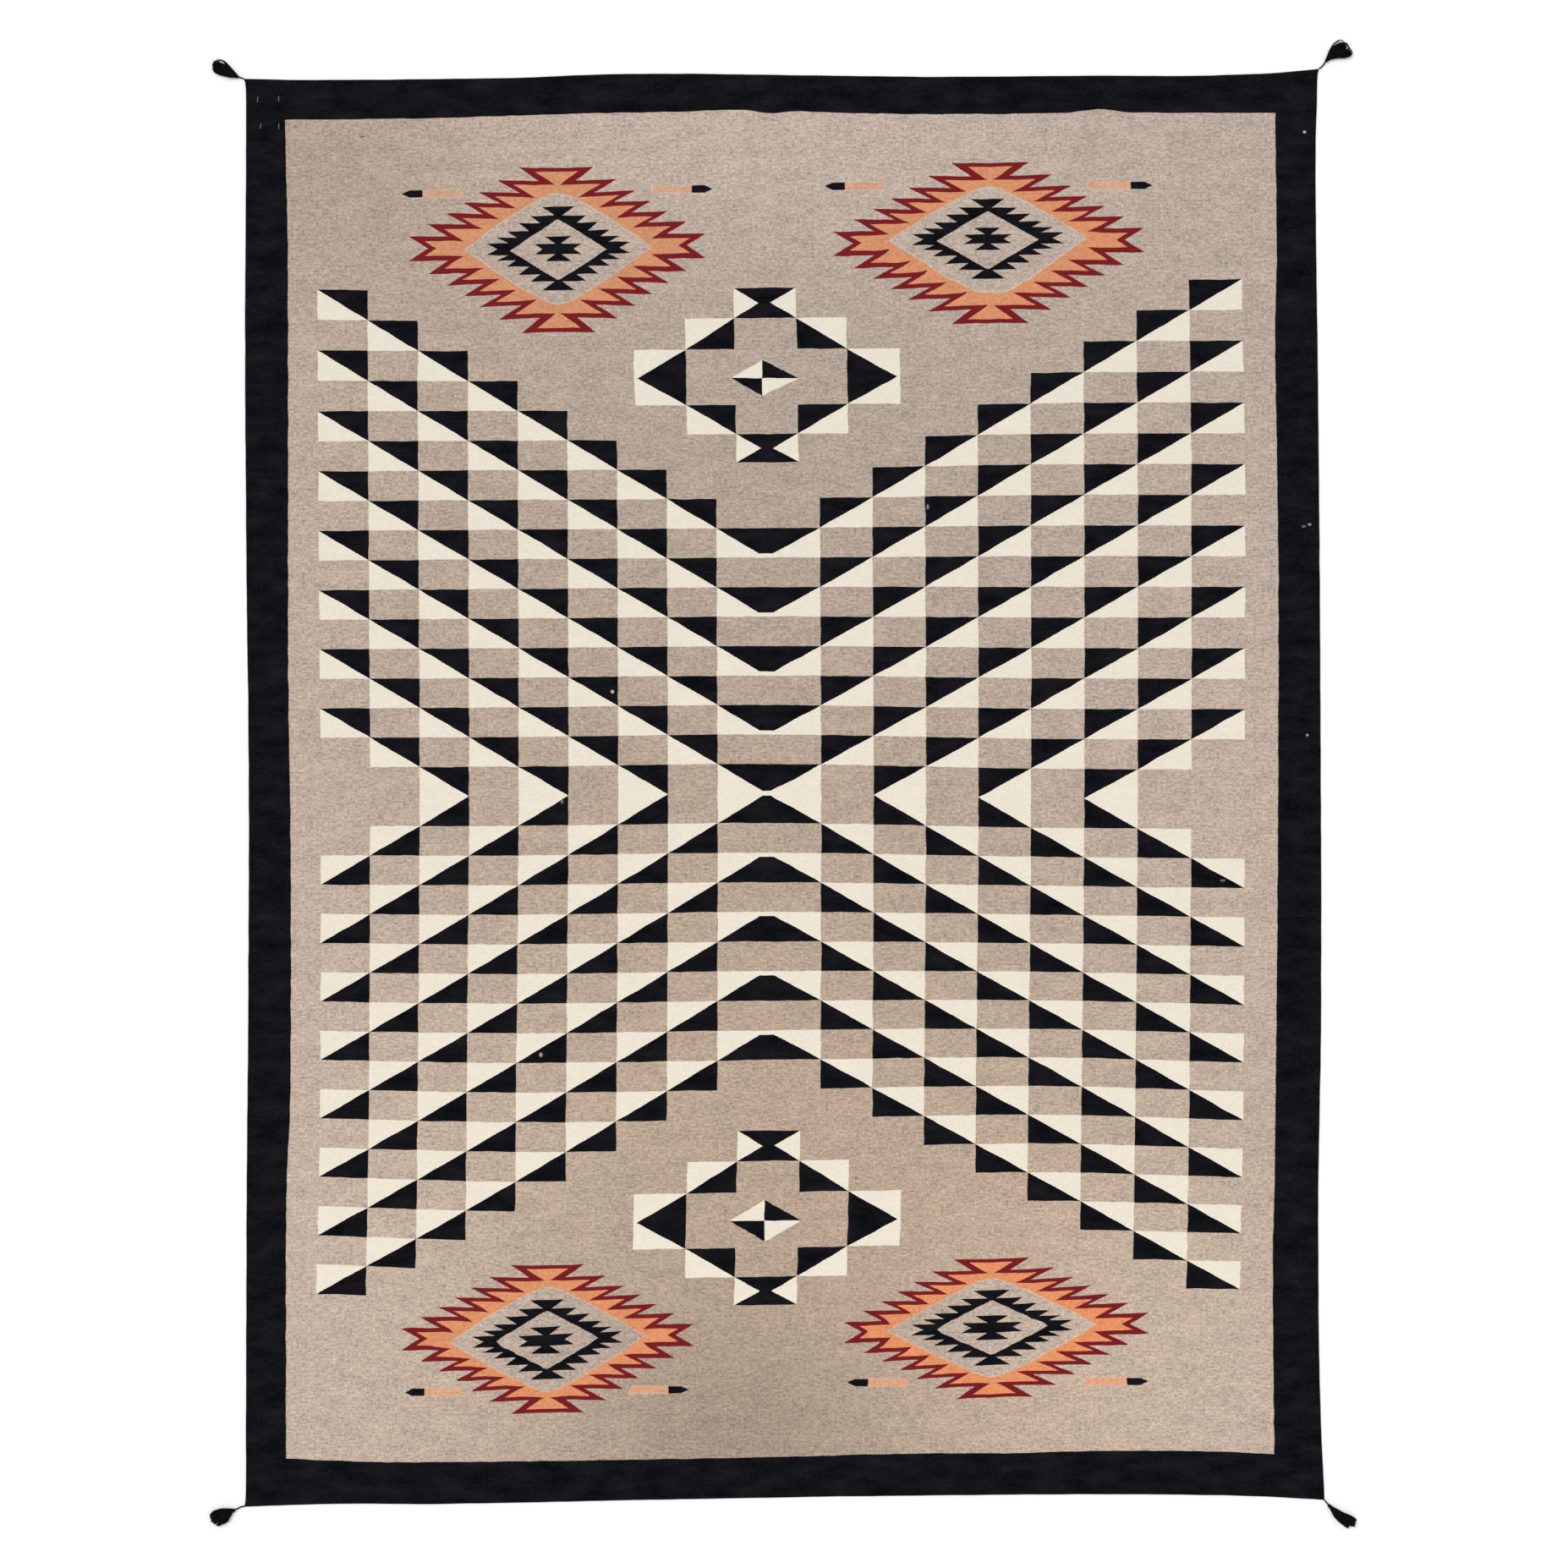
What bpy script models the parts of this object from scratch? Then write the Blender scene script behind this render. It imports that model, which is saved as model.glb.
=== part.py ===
"""Flatweave rug: one woven wool cloth that lies flat, with a yarn tassel at each corner.

Metres, +Z up. The origin is on the floor under the middle of the cloth, +Y runs along the
warp towards the top end, and +X runs across it towards the right selvedge.
"""

import math

import bmesh
import bpy

# Driving dimensions of the cloth
CLOTH_WIDTH = 2.745
CLOTH_LENGTH = 3.646
CLOTH_THICKNESS = 0.003
CELLS_ACROSS = 22
CELLS_ALONG = 28

# Driving dimensions of a tassel, measured from the cloth's corner outwards
GAP = 0.0003
NECK_HALF_WIDTH = 0.0021
NECK_HALF_HEIGHT = 0.0014
ROOT_HALF_WIDTH = 0.0092
ROOT_HALF_HEIGHT = 0.0058
ROOT_LENGTH = 0.020
ROOT_CENTRE_HEIGHT = 0.0060
STRAND_COLUMNS = 12
STRAND_ROWS = 4
STRAND_ROOT_MARGIN = 0.17
STRAND_GAP = 0.0006
STRAND_HEIGHT = 0.0026
STRAND_SEGMENTS = 3
ROW_PITCH = 0.0035
ROW_PITCH_LOSS_AT_SIDES = 0.0004
ROW_STAGGER = 0.25
MEAN_REACH = 0.97
REACH_LOSS_AT_SIDES = 0.17
UNEVEN_REACH = 0.025

BLACK_WOOL = (0.0075, 0.0080, 0.0095)
TAN_WOOL = (0.50, 0.41, 0.33)

MM = 0.001
SHARP_ANGLE = 35.0

# How far each edge bows out from the nominal rectangle, in millimetres, at a fraction of the way
# along it: left to right for the two ends, bottom to top for the two selvedges.
EDGE_BOWS = {
    # fraction, outward
    "top": (
        (0.00, -7.5), (0.06, -10.4), (0.16, -8.4), (0.25, -5.0), (0.32, 2.6), (0.40, 5.8),
        (0.56, 0.0), (0.64, -2.0), (0.80, 0.5), (0.88, 0.0), (0.95, 6.3), (0.975, 11.5), (1.00, 18.4),
    ),
    "bottom": (
        (0.00, 16.0), (0.03, 13.0), (0.09, 8.2), (0.17, 9.1), (0.25, 5.6), (0.40, -3.0),
        (0.56, -10.6), (0.70, -14.6), (0.79, -16.0), (0.87, -14.9), (0.95, -9.5), (1.00, -1.5),
    ),
    "left": (
        (0.00, 6.5), (0.02, 3.4), (0.10, 2.2), (0.23, 0.2), (0.35, -3.4), (0.52, -4.6),
        (0.64, 0.6), (0.82, 4.8), (0.94, 2.4), (0.985, 3.4), (1.00, 6.9),
    ),
    "right": (
        (0.00, 12.8), (0.02, 9.5), (0.05, 4.4), (0.12, -1.6), (0.22, -2.8), (0.34, 4.1),
        (0.55, 2.6), (0.75, -2.6), (0.93, -10.0), (0.985, -5.4), (1.00, -1.5),
    ),
}

# Soft folds that stay in the cloth's face: a line from one point to another, its half width and height.
FOLDS = (
    # x1, y1, x2, y2, half width, height
    (-0.015, 1.82, -0.020, 0.45, 0.060, 0.0012),
    (-0.020, -0.10, -0.025, -0.75, 0.070, 0.0008),
    (0.790, 1.80, 0.700, 1.56, 0.075, 0.0012),
    (-0.450, -1.62, 0.250, -1.66, 0.130, 0.0010),
    (-1.200, 1.55, -0.950, 1.30, 0.140, 0.0010),
)

# The tassels: which corner, the neck's length, the tuft's direction, length and half width at its end.
TASSELS = (
    # name, x side, y side, neck length, direction in degrees, tuft length, end half width
    ("tassel_top_left", -1, 1, 0.012, 153.0, 0.073, 0.0200),
    ("tassel_top_right", 1, 1, 0.026, 35.0, 0.066, 0.0235),
    ("tassel_bottom_left", -1, -1, 0.029, 205.0, 0.062, 0.0205),
    ("tassel_bottom_right", 1, -1, 0.015, -35.0, 0.077, 0.0200),
)


def smooth_interpolate(rows, at):
    """Read a smooth curve through rows of (position, value), sorted by position."""
    positions = [row[0] for row in rows]
    values = [row[1] for row in rows]
    last = len(rows) - 1
    index = 0
    while index < last - 1 and at > positions[index + 1]:
        index += 1

    def slope(point):
        before = max(point - 1, 0)
        after = min(point + 1, last)
        return (values[after] - values[before]) / (positions[after] - positions[before])

    span = positions[index + 1] - positions[index]
    t = min(max((at - positions[index]) / span, 0.0), 1.0)
    start_weight = 2 * t ** 3 - 3 * t ** 2 + 1
    end_weight = 1 - start_weight
    start_slope_weight = t ** 3 - 2 * t ** 2 + t
    end_slope_weight = t ** 3 - t ** 2
    return (
        start_weight * values[index]
        + end_weight * values[index + 1]
        + span * (start_slope_weight * slope(index) + end_slope_weight * slope(index + 1))
    )


def edge_bow(side, fraction):
    return smooth_interpolate(EDGE_BOWS[side], fraction) * MM


def cloth_point(across, along):
    """Plan position of the cloth at fractions of its width and length."""
    left = -CLOTH_WIDTH / 2 - edge_bow("left", along)
    right = CLOTH_WIDTH / 2 + edge_bow("right", along)
    bottom = -CLOTH_LENGTH / 2 - edge_bow("bottom", across)
    top = CLOTH_LENGTH / 2 + edge_bow("top", across)
    return left + (right - left) * across, bottom + (top - bottom) * along


def fold_height(x, y):
    """Height of the soft folds above the level cloth."""
    height = 0.0
    for x1, y1, x2, y2, half_width, fold in FOLDS:
        length_squared = (x2 - x1) ** 2 + (y2 - y1) ** 2
        t = ((x - x1) * (x2 - x1) + (y - y1) * (y2 - y1)) / length_squared
        t = min(max(t, 0.0), 1.0)
        distance = math.hypot(x - x1 - t * (x2 - x1), y - y1 - t * (y2 - y1))
        if distance < half_width:
            height += fold * 0.5 * (1 + math.cos(math.pi * distance / half_width))
    return height


def stations(count, extra):
    """Evenly spaced fractions from 0 to 1, with extra ones put in where the shape turns."""
    close = 0.4 / count
    even = [step / count for step in range(count + 1)]
    kept = [value for value in even if value in (0.0, 1.0) or min(abs(value - e) for e in extra) > close]
    return sorted(kept + list(extra))


def wool_material(name, colour, roughness):
    material = bpy.data.materials.new(name)
    material.use_nodes = True
    shader = material.node_tree.nodes["Principled BSDF"]
    shader.inputs["Base Color"].default_value = (*colour, 1.0)
    shader.inputs["Roughness"].default_value = roughness
    shader.inputs["Metallic"].default_value = 0.0
    return material


def add_object(name, mesh_builder, material):
    mesh = bpy.data.meshes.new(name)
    bmesh.ops.recalc_face_normals(mesh_builder, faces=mesh_builder.faces)
    mesh_builder.to_mesh(mesh)
    mesh_builder.free()
    mesh.shade_smooth()
    mesh.set_sharp_from_angle(angle=math.radians(SHARP_ANGLE))
    mesh.materials.append(material)
    obj = bpy.data.objects.new(name, mesh)
    bpy.context.scene.collection.objects.link(obj)
    return obj


def build_cloth(material):
    """The woven cloth: flat underneath, with its folds in the upper face."""
    corner_fractions = (0.015, 0.985)
    fold_fractions = (0.472, 0.495, 0.518)
    across_stations = stations(CELLS_ACROSS, corner_fractions + fold_fractions)
    along_stations = stations(CELLS_ALONG, corner_fractions)
    bm = bmesh.new()
    upper = {}
    lower = {}
    for i, across in enumerate(across_stations):
        for j, along in enumerate(along_stations):
            x, y = cloth_point(across, along)
            upper[i, j] = bm.verts.new((x, y, CLOTH_THICKNESS + fold_height(x, y)))
            lower[i, j] = bm.verts.new((x, y, 0.0))
    last_i = len(across_stations) - 1
    last_j = len(along_stations) - 1
    for i in range(last_i):
        for j in range(last_j):
            cell = ((i, j), (i + 1, j), (i + 1, j + 1), (i, j + 1))
            bm.faces.new([upper[key] for key in cell])
            bm.faces.new([lower[key] for key in reversed(cell)])
    rim = [(i, 0) for i in range(last_i)]
    rim += [(last_i, j) for j in range(last_j)]
    rim += [(i, last_j) for i in range(last_i, 0, -1)]
    rim += [(0, j) for j in range(last_j, 0, -1)]
    for here, following in zip(rim, rim[1:] + rim[:1]):
        bm.faces.new((lower[here], lower[following], upper[following], upper[here]))
    return add_object("woven_cloth", bm, material)


def on_disc(across, up):
    """Carry a point of the square from -1 to 1 onto the round disc of radius 1."""
    return across * math.sqrt(1 - up * up / 2), up * math.sqrt(1 - across * across / 2)


def tassel_sections(neck_length):
    """Cross-sections of the neck and the bound root: forward, half width, half height, centre height."""
    return (
        (GAP, NECK_HALF_WIDTH, NECK_HALF_HEIGHT, CLOTH_THICKNESS / 2),
        (neck_length * 0.6, NECK_HALF_WIDTH * 0.9, NECK_HALF_HEIGHT * 1.1, 0.0022),
        (neck_length, NECK_HALF_WIDTH * 1.3, NECK_HALF_HEIGHT * 1.7, 0.0034),
        (neck_length + ROOT_LENGTH * 0.35, ROOT_HALF_WIDTH * 0.56, ROOT_HALF_HEIGHT * 0.70, 0.0048),
        (neck_length + ROOT_LENGTH, ROOT_HALF_WIDTH, ROOT_HALF_HEIGHT, ROOT_CENTRE_HEIGHT),
    )


def root_boundary():
    """Grid keys around the root plate, in order."""
    keys = [(i, 0) for i in range(STRAND_COLUMNS)]
    keys += [(STRAND_COLUMNS, j) for j in range(STRAND_ROWS)]
    keys += [(i, STRAND_ROWS) for i in range(STRAND_COLUMNS, 0, -1)]
    keys += [(0, j) for j in range(STRAND_ROWS, 0, -1)]
    return keys


def plate_position(i, j):
    return on_disc(2 * i / STRAND_COLUMNS - 1, 2 * j / STRAND_ROWS - 1)


def strand_section(column, row, part, plate_x, tuft_length, end_half_width):
    """Four corners of one strand at a part of the way from its root, 0, to its cut end, 1."""
    across = (2 * column + 1) / STRAND_COLUMNS - 1
    up = (2 * row + 1) / STRAND_ROWS - 1
    root_y, root_z = on_disc(across, up)
    root_y *= ROOT_HALF_WIDTH
    root_z = ROOT_CENTRE_HEIGHT + root_z * ROOT_HALF_HEIGHT
    row_pitch = ROW_PITCH - ROW_PITCH_LOSS_AT_SIDES * across * across
    column_pitch = 2 * end_half_width / (STRAND_COLUMNS + 2 * ROW_STAGGER)
    stagger = ROW_STAGGER if row % 2 else -ROW_STAGGER
    end_y = (column + 0.5 - STRAND_COLUMNS / 2 + stagger) * column_pitch
    end_z = STRAND_HEIGHT / 2 + row * row_pitch
    uneven = math.sin(2.4 * column + 1.9 * row) + math.sin(4.1 * column - 2.7 * row)
    reach = tuft_length - ROOT_LENGTH
    end_x = plate_x + reach * (MEAN_REACH - REACH_LOSS_AT_SIDES * across ** 4 + UNEVEN_REACH * uneven)
    spread = math.sin(part * math.pi / 2)
    settle = 1 - (1 - part) ** 3
    x = plate_x + (end_x - plate_x) * part
    y = root_y + (end_y - root_y) * spread
    z = root_z + (end_z - root_z) * settle
    half_width = (column_pitch - STRAND_GAP) / 2 * (0.58 + 0.42 * part)
    half_height = STRAND_HEIGHT / 2 * (0.8 + 0.2 * settle)
    z = max(z, half_height)
    return (
        (x, y - half_width, z - half_height),
        (x, y + half_width, z - half_height),
        (x, y + half_width, z + half_height),
        (x, y - half_width, z + half_height),
    )


def skin(bm, ring, following):
    """Faces between two rings of as many points."""
    count = len(ring)
    for index in range(count):
        after = (index + 1) % count
        bm.faces.new((ring[index], ring[after], following[after], following[index]))


def add_bound_root(bm, neck_length):
    """The closed neck and bound root, open at its root plate. Returns the plate's points by grid key."""
    boundary = root_boundary()
    sections = tassel_sections(neck_length)
    rings = []
    for forward, half_width, half_height, centre in sections[:-1]:
        ring = []
        for i, j in boundary:
            y, z = plate_position(i, j)
            ring.append(bm.verts.new((forward, y * half_width, centre + z * half_height)))
        rings.append(ring)
    plate_x, half_width, half_height, centre = sections[-1]
    plate = {}
    for i in range(STRAND_COLUMNS + 1):
        for j in range(STRAND_ROWS + 1):
            y, z = plate_position(i, j)
            plate[i, j] = bm.verts.new((plate_x, y * half_width, centre + z * half_height))
    rings.append([plate[key] for key in boundary])
    bm.faces.new(rings[0])
    for ring, following in zip(rings, rings[1:]):
        skin(bm, ring, following)
    return plate


def add_strand(bm, plate, column, row, plate_x, tuft_length, end_half_width):
    """One strand that grows out of its own cell of the root plate."""
    corners = ((column, row), (column + 1, row), (column + 1, row + 1), (column, row + 1))
    cell = [plate[key] for key in corners]
    centre = (cell[0].co + cell[1].co + cell[2].co + cell[3].co) / 4
    ring = [bm.verts.new(vert.co.lerp(centre, 2 * STRAND_ROOT_MARGIN)) for vert in cell]
    skin(bm, cell, ring)
    for step in range(1, STRAND_SEGMENTS + 1):
        part = step / STRAND_SEGMENTS
        points = strand_section(column, row, part, plate_x, tuft_length, end_half_width)
        following = [bm.verts.new(point) for point in points]
        skin(bm, ring, following)
        ring = following
    bm.faces.new(ring)


def build_tassel(name, x_side, y_side, neck_length, direction, tuft_length, end_half_width, material):
    """One tassel, lying on the floor: a thin neck, a bound root and a fan of cut strands."""
    bm = bmesh.new()
    plate = add_bound_root(bm, neck_length)
    plate_x = neck_length + ROOT_LENGTH
    for column in range(STRAND_COLUMNS):
        for row in range(STRAND_ROWS):
            add_strand(bm, plate, column, row, plate_x, tuft_length, end_half_width)
    obj = add_object(name, bm, material)
    corner_x, corner_y = cloth_point((x_side + 1) / 2, (y_side + 1) / 2)
    obj.location = (corner_x, corner_y, 0.0)
    obj.rotation_euler = (0.0, 0.0, math.radians(direction))
    return obj


def main():
    for old in list(bpy.data.objects):
        bpy.data.objects.remove(old, do_unlink=True)
    cloth_material = wool_material("tan_wool", TAN_WOOL, 0.92)
    tassel_material = wool_material("black_wool", BLACK_WOOL, 0.90)
    build_cloth(cloth_material)
    for row in TASSELS:
        build_tassel(*row, tassel_material)


main()
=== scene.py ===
"""Looks of the flatweave rug: the woven cloth and its pattern, four yarn tassels, floor and light.

Metres, +Z up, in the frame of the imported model: the origin is on the floor under the middle of
the cloth, +Y runs along the warp towards the top end and +X towards the right selvedge.
"""

import math
import random

import bpy
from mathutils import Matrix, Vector, noise


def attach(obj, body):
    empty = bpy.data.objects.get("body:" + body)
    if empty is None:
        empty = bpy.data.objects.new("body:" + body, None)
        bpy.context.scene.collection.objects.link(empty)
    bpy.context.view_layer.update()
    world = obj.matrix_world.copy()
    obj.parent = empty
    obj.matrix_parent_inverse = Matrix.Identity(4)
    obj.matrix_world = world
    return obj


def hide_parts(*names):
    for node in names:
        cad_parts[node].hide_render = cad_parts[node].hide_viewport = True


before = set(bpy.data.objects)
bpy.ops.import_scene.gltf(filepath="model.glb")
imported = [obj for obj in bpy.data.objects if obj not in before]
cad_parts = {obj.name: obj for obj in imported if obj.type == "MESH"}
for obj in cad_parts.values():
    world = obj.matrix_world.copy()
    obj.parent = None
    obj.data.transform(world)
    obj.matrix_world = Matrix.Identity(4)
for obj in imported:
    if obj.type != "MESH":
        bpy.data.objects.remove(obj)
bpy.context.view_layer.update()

MM = 0.001

# The cloth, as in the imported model
CLOTH_WIDTH = 2.745
CLOTH_LENGTH = 3.646
CLOTH_THICKNESS = 0.003

# How far each edge bows out from the nominal rectangle, in millimetres, at a fraction of the way
# along it: left to right for the two ends, bottom to top for the two selvedges.
EDGE_BOWS = {
    # fraction, outward
    "top": (
        (0.00, -7.5), (0.06, -10.4), (0.16, -8.4), (0.25, -5.0), (0.32, 2.6), (0.40, 5.8),
        (0.56, 0.0), (0.64, -2.0), (0.80, 0.5), (0.88, 0.0), (0.95, 6.3), (0.975, 11.5), (1.00, 18.4),
    ),
    "bottom": (
        (0.00, 16.0), (0.03, 13.0), (0.09, 8.2), (0.17, 9.1), (0.25, 5.6), (0.40, -3.0),
        (0.56, -10.6), (0.70, -14.6), (0.79, -16.0), (0.87, -14.9), (0.95, -9.5), (1.00, -1.5),
    ),
    "left": (
        (0.00, 7.0), (0.004, 3.6), (0.02, 2.6), (0.10, 2.2), (0.23, 0.2), (0.35, -3.4), (0.52, -4.6),
        (0.64, 0.6), (0.82, 4.8), (0.94, 2.4), (0.985, 2.4), (0.9957, 3.2), (1.00, 7.6),
    ),
    "right": (
        (0.00, 12.8), (0.02, 9.5), (0.05, 4.4), (0.12, -1.6), (0.22, -2.8), (0.34, 4.1),
        (0.55, 2.6), (0.75, -2.6), (0.93, -10.0), (0.985, -6.0), (0.9963, -4.6), (1.00, -0.5),
    ),
}

# Soft folds: a line from one point to another, its half width and height
FOLDS = (
    # x1, y1, x2, y2, half width, height
    (-0.015, 1.82, -0.020, 0.45, 0.060, 0.0012),
    (-0.020, -0.10, -0.025, -0.75, 0.070, 0.0008),
    (0.790, 1.80, 0.700, 1.56, 0.075, 0.0012),
    (-0.450, -1.62, 0.250, -1.66, 0.130, 0.0010),
    (-1.200, 1.55, -0.950, 1.30, 0.140, 0.0010),
)

# The cloth's mesh
CELLS_ACROSS = 158
CELLS_ALONG = 212
EDGE_STATIONS = (0.0, 0.0003, 0.0008, 0.0016, 0.0032, 0.0060, 0.0110)
RIM_RADIUS = 0.0016
SELVEDGE_PLACE = 0.0032
SELVEDGE_SPREAD = 0.0030
SELVEDGE_BULGE = 0.22
END_SHARE = 0.5
UNDULATION = 0.0006
UNDULATION_SIZE = 0.33
EDGE_LIFT = 0.35
SETTLE_DEPTH = 0.12
EDGE_WAVE = 0.0007
EDGE_WAVE_LENGTH = 0.045
EDGE_WAVE_DEPTH = 0.020

# Where the field meets the black border: a place along the cloth and the line's own place, in
# millimetres, left to right for the two ends, bottom to top for the two sides.
BORDER_LINES = {
    # along, line
    "top": (
        (-1270, 1710), (-920, 1714), (-490, 1727), (-275, 1731), (-100, 1735.5), (-32, 1726),
        (30, 1732), (160, 1728), (377, 1724.5), (723, 1728), (810, 1737), (896, 1729), (1265, 1728),
    ),
    "bottom": (
        (-1270, -1714), (-1140, -1721), (-980, -1724.5), (-490, -1719.5), (-60, -1711.5),
        (375, -1701.5), (595, -1700.5), (810, -1695.5), (1030, -1695.5), (1265, -1703),
    ),
    "left": (
        (-1715, -1272), (-1230, -1272), (-1010, -1270), (-800, -1261), (-150, -1260),
        (290, -1266), (1370, -1267.5), (1710, -1274),
    ),
    "right": (
        (-1700, 1256.5), (-1230, 1252.5), (-1010, 1257), (-580, 1262), (-150, 1265.5),
        (500, 1267), (935, 1262), (1150, 1258.5), (1370, 1262.5), (1700, 1259),
    ),
}

# The even design. Its coordinates run from its middle, u across and v along.
CELL_WIDTH = 0.1316
CELL_HEIGHT = 0.07556
SIDE_COLUMNS = 8
HALF_ROWS = 17
LONGEST_RUN = 14
VALLEY_TIP = 0.86
VALLEY_TIP_AT_MIDDLE = 0.92
MEDALLION_V = 1.058
DIAMOND_U = 0.563
DIAMOND_V = 1.390

# How the cells stray from the even design, in whole millimetres, read off at corners of the cells:
# a row for each height along the cloth, a column for each place across it.
DRIFT_ACROSS_AT = (-1188, -679, -43, 639, 1180)
DRIFT_ALONG_AT = (-1304, -851, -20, 812, 1265)
DRIFT_RIGHT = (
    (-6, -8, -2, -16, -12),
    (3, -5, 0, -12, -3),
    (5, 2, 1, -4, 1),
    (-1, 0, -3, -5, 2),
    (-3, -1, -5, -6, -6),
)
DRIFT_UP = (
    (11, -7, 4, 28, 23),
    (6, -4, 4, 16, 1),
    (-2, -1, 6, -6, -9),
    (-1, 2, 5, 16, 17),
    (11, 5, 6, 32, 37),
)
# Millimetres across the cloth, and the column line of the even design that lies there
COLUMN_LINES = ((-1188.6, -9), (-168.9, -1), (-43.3, 0), (97.4, 1), (1179.9, 9))
LATTICE_MIDDLE_Y = -0.0195

# The motifs as woven, in millimetres: the middle, how far it reaches to each side, how much its
# cross line rises for each millimetre to the right, and how far its upright leans right for each
# millimetre up. The outer motifs each hold an inner one that was woven a little out of true.
MEDALLION_HALF = (337.7, 223.0)
MEDALLIONS = (
    # x, y, left, right, down, up, rise, lean, u side, v side
    (-44.4, 1050.6, 336.5, 344.0, 217.0, 230.0, 0.008, -0.018, 0, 1),
    (-41.1, -1107.2, 342.0, 341.0, 215.0, 231.5, 0.015, 0.020, 0, -1),
)
HEART_HALF = (83.0, 46.0)
HEARTS = (
    (-54.0, 1049.5, 79.0, 94.0, 46.0, 46.0, 0.000, 0.000),
    (-48.5, -1106.7, 90.0, 96.0, 53.5, 53.5, 0.005, 0.000),
)
HEART_REACH = (1.10, 1.50)
OUTLINE_HALF = (376.7, 203.5)
OUTLINES = (
    (-576.8, 1385.2, 377.0, 375.0, 217.5, 202.5, 0.0110, -0.012, -1, 1),
    (531.0, 1398.5, 399.0, 388.5, 208.0, 201.0, 0.0130, 0.000, 1, 1),
    (-603.0, -1403.5, 370.7, 370.7, 194.0, 182.5, 0.0150, 0.000, -1, -1),
    (534.5, -1381.3, 376.0, 399.0, 176.9, 176.9, 0.0310, -0.022, 1, -1),
)
RING_HALF = (181.9, 106.1)
RINGS = (
    (-575.2, 1381.1, 181.0, 181.0, 107.2, 107.2, 0.015, 0.000),
    (523.5, 1406.0, 191.6, 191.6, 101.8, 101.8, 0.012, 0.000),
    (-603.4, -1410.7, 189.9, 189.9, 101.8, 101.8, 0.036, 0.000),
    (533.5, -1380.0, 203.5, 203.5, 95.9, 95.9, 0.032, 0.000),
)
RING_REACH = (1.28, 1.70)
CORE_HALF = (59.1, 31.6)
CORES = (
    (-575.7, 1379.9, 58.5, 58.5, 31.3, 31.3, 0.010, 0.000),
    (523.1, 1405.8, 60.0, 60.0, 28.8, 28.8, 0.010, 0.000),
    (-607.3, -1412.7, 69.8, 69.8, 34.2, 34.2, 0.045, 0.000),
    (534.0, -1379.8, 77.5, 77.5, 31.3, 31.3, 0.032, 0.000),
)
CORE_REACH = (1.60, 2.10)
ARROW_CENTRE = (319.7, 147.0)
ARROW_HALF = (76.1, 10.3)
ARROW_MARGIN = 0.010
ARROWS = (
    # x, y, half length, outline's row, side of it
    (-898.7, 1521.0, 76.2, 0, -1),
    (-258.7, 1532.8, 76.9, 0, 1),
    (182.1, 1540.6, 75.6, 1, -1),
    (861.7, 1542.6, 83.1, 1, 1),
    (-895.0, -1545.4, 71.4, 2, -1),
    (-318.7, -1538.7, 77.1, 2, 1),
    (242.3, -1520.9, 77.5, 3, -1),
    (852.6, -1517.4, 82.7, 3, 1),
)
DIAMOND_HULL = (0.440, 0.266)
ZONE_EDGE = 0.004

# Teeth of the serrated forms of the even design, from the outermost: millimetres
OUTLINE_TEETH = (
    # height of its flat side, its tip, the notch on its inner side
    (205.5, 95.5, 47.0), (173.5, 154.0, 96.0), (144.0, 203.0, 145.0), (117.0, 244.0, 190.0),
    (90.0, 287.0, 231.0), (63.0, 333.0, 281.0), (32.0, 383.0, 333.0),
)
RING_TEETH = (
    (106.1, 42.0, 10.0), (83.4, 72.0, 46.0), (66.0, 104.0, 75.0), (45.5, 134.0, 108.0),
    (29.2, 160.0, 129.0), (15.2, 186.0, 157.0),
)
CORE_TEETH = ((31.6, 34.0, 7.6), (13.0, 61.0, 41.0))
RED_ACROSS = 0.041
RED_ALONG = 0.0102
SPLAY = 0.045
SPLAY_FROM = 0.060
SPLAY_GROWTH = 0.50
OUTLINE_HOLE = (242.5, 165.0, 38.0)
RING_HOLE = (124.3, 78.5, 4.0)
RING_HOLE_DROP = 0.0035
HOLE_FADE = 0.0050
BAR_FADE = 0.0030
BAR_SHARE = 0.85

# The medallion of the even design, in millimetres
MEDALLION_ACROSS = (79.0, 204.6, 337.7)
MEDALLION_ALONG = (70.8, 148.0, 223.0)
BOW_NECK = 0.015
ARM_TIP_SHORT = 0.0076

# The arrows of the even design
ARROW_START = 0.2436
ARROW_HEAD = 0.3445
ARROW_POINT = 0.3968
ARROW_BAR_HALF = 0.0100
ARROW_HEAD_HALF = 0.0093
ARROW_TAPER = 0.47

# Yarn colours as the 0 to 255 screen values that they show in the scene's light, how bright that
# light makes a white surface, and what the wool's faint gloss adds
TAN_COOL = (188, 173, 162)
TAN_WARM = (191, 169, 149)
TAN_PALE = (191, 174, 161)
CREAM_TOP = (238, 230, 214)
CREAM_BOTTOM = (248, 237, 219)
BLACK_BLUE = (20, 22, 28)
BLACK_BROWN = (24, 23, 25)
ORANGE_DULL = (214, 149, 111)
ORANGE_BRIGHT = (239, 153, 104)
RED = (124, 33, 37)
LIGHT_LEVEL = 1.11
SURFACE_GLOSS = 0.0025

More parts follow.
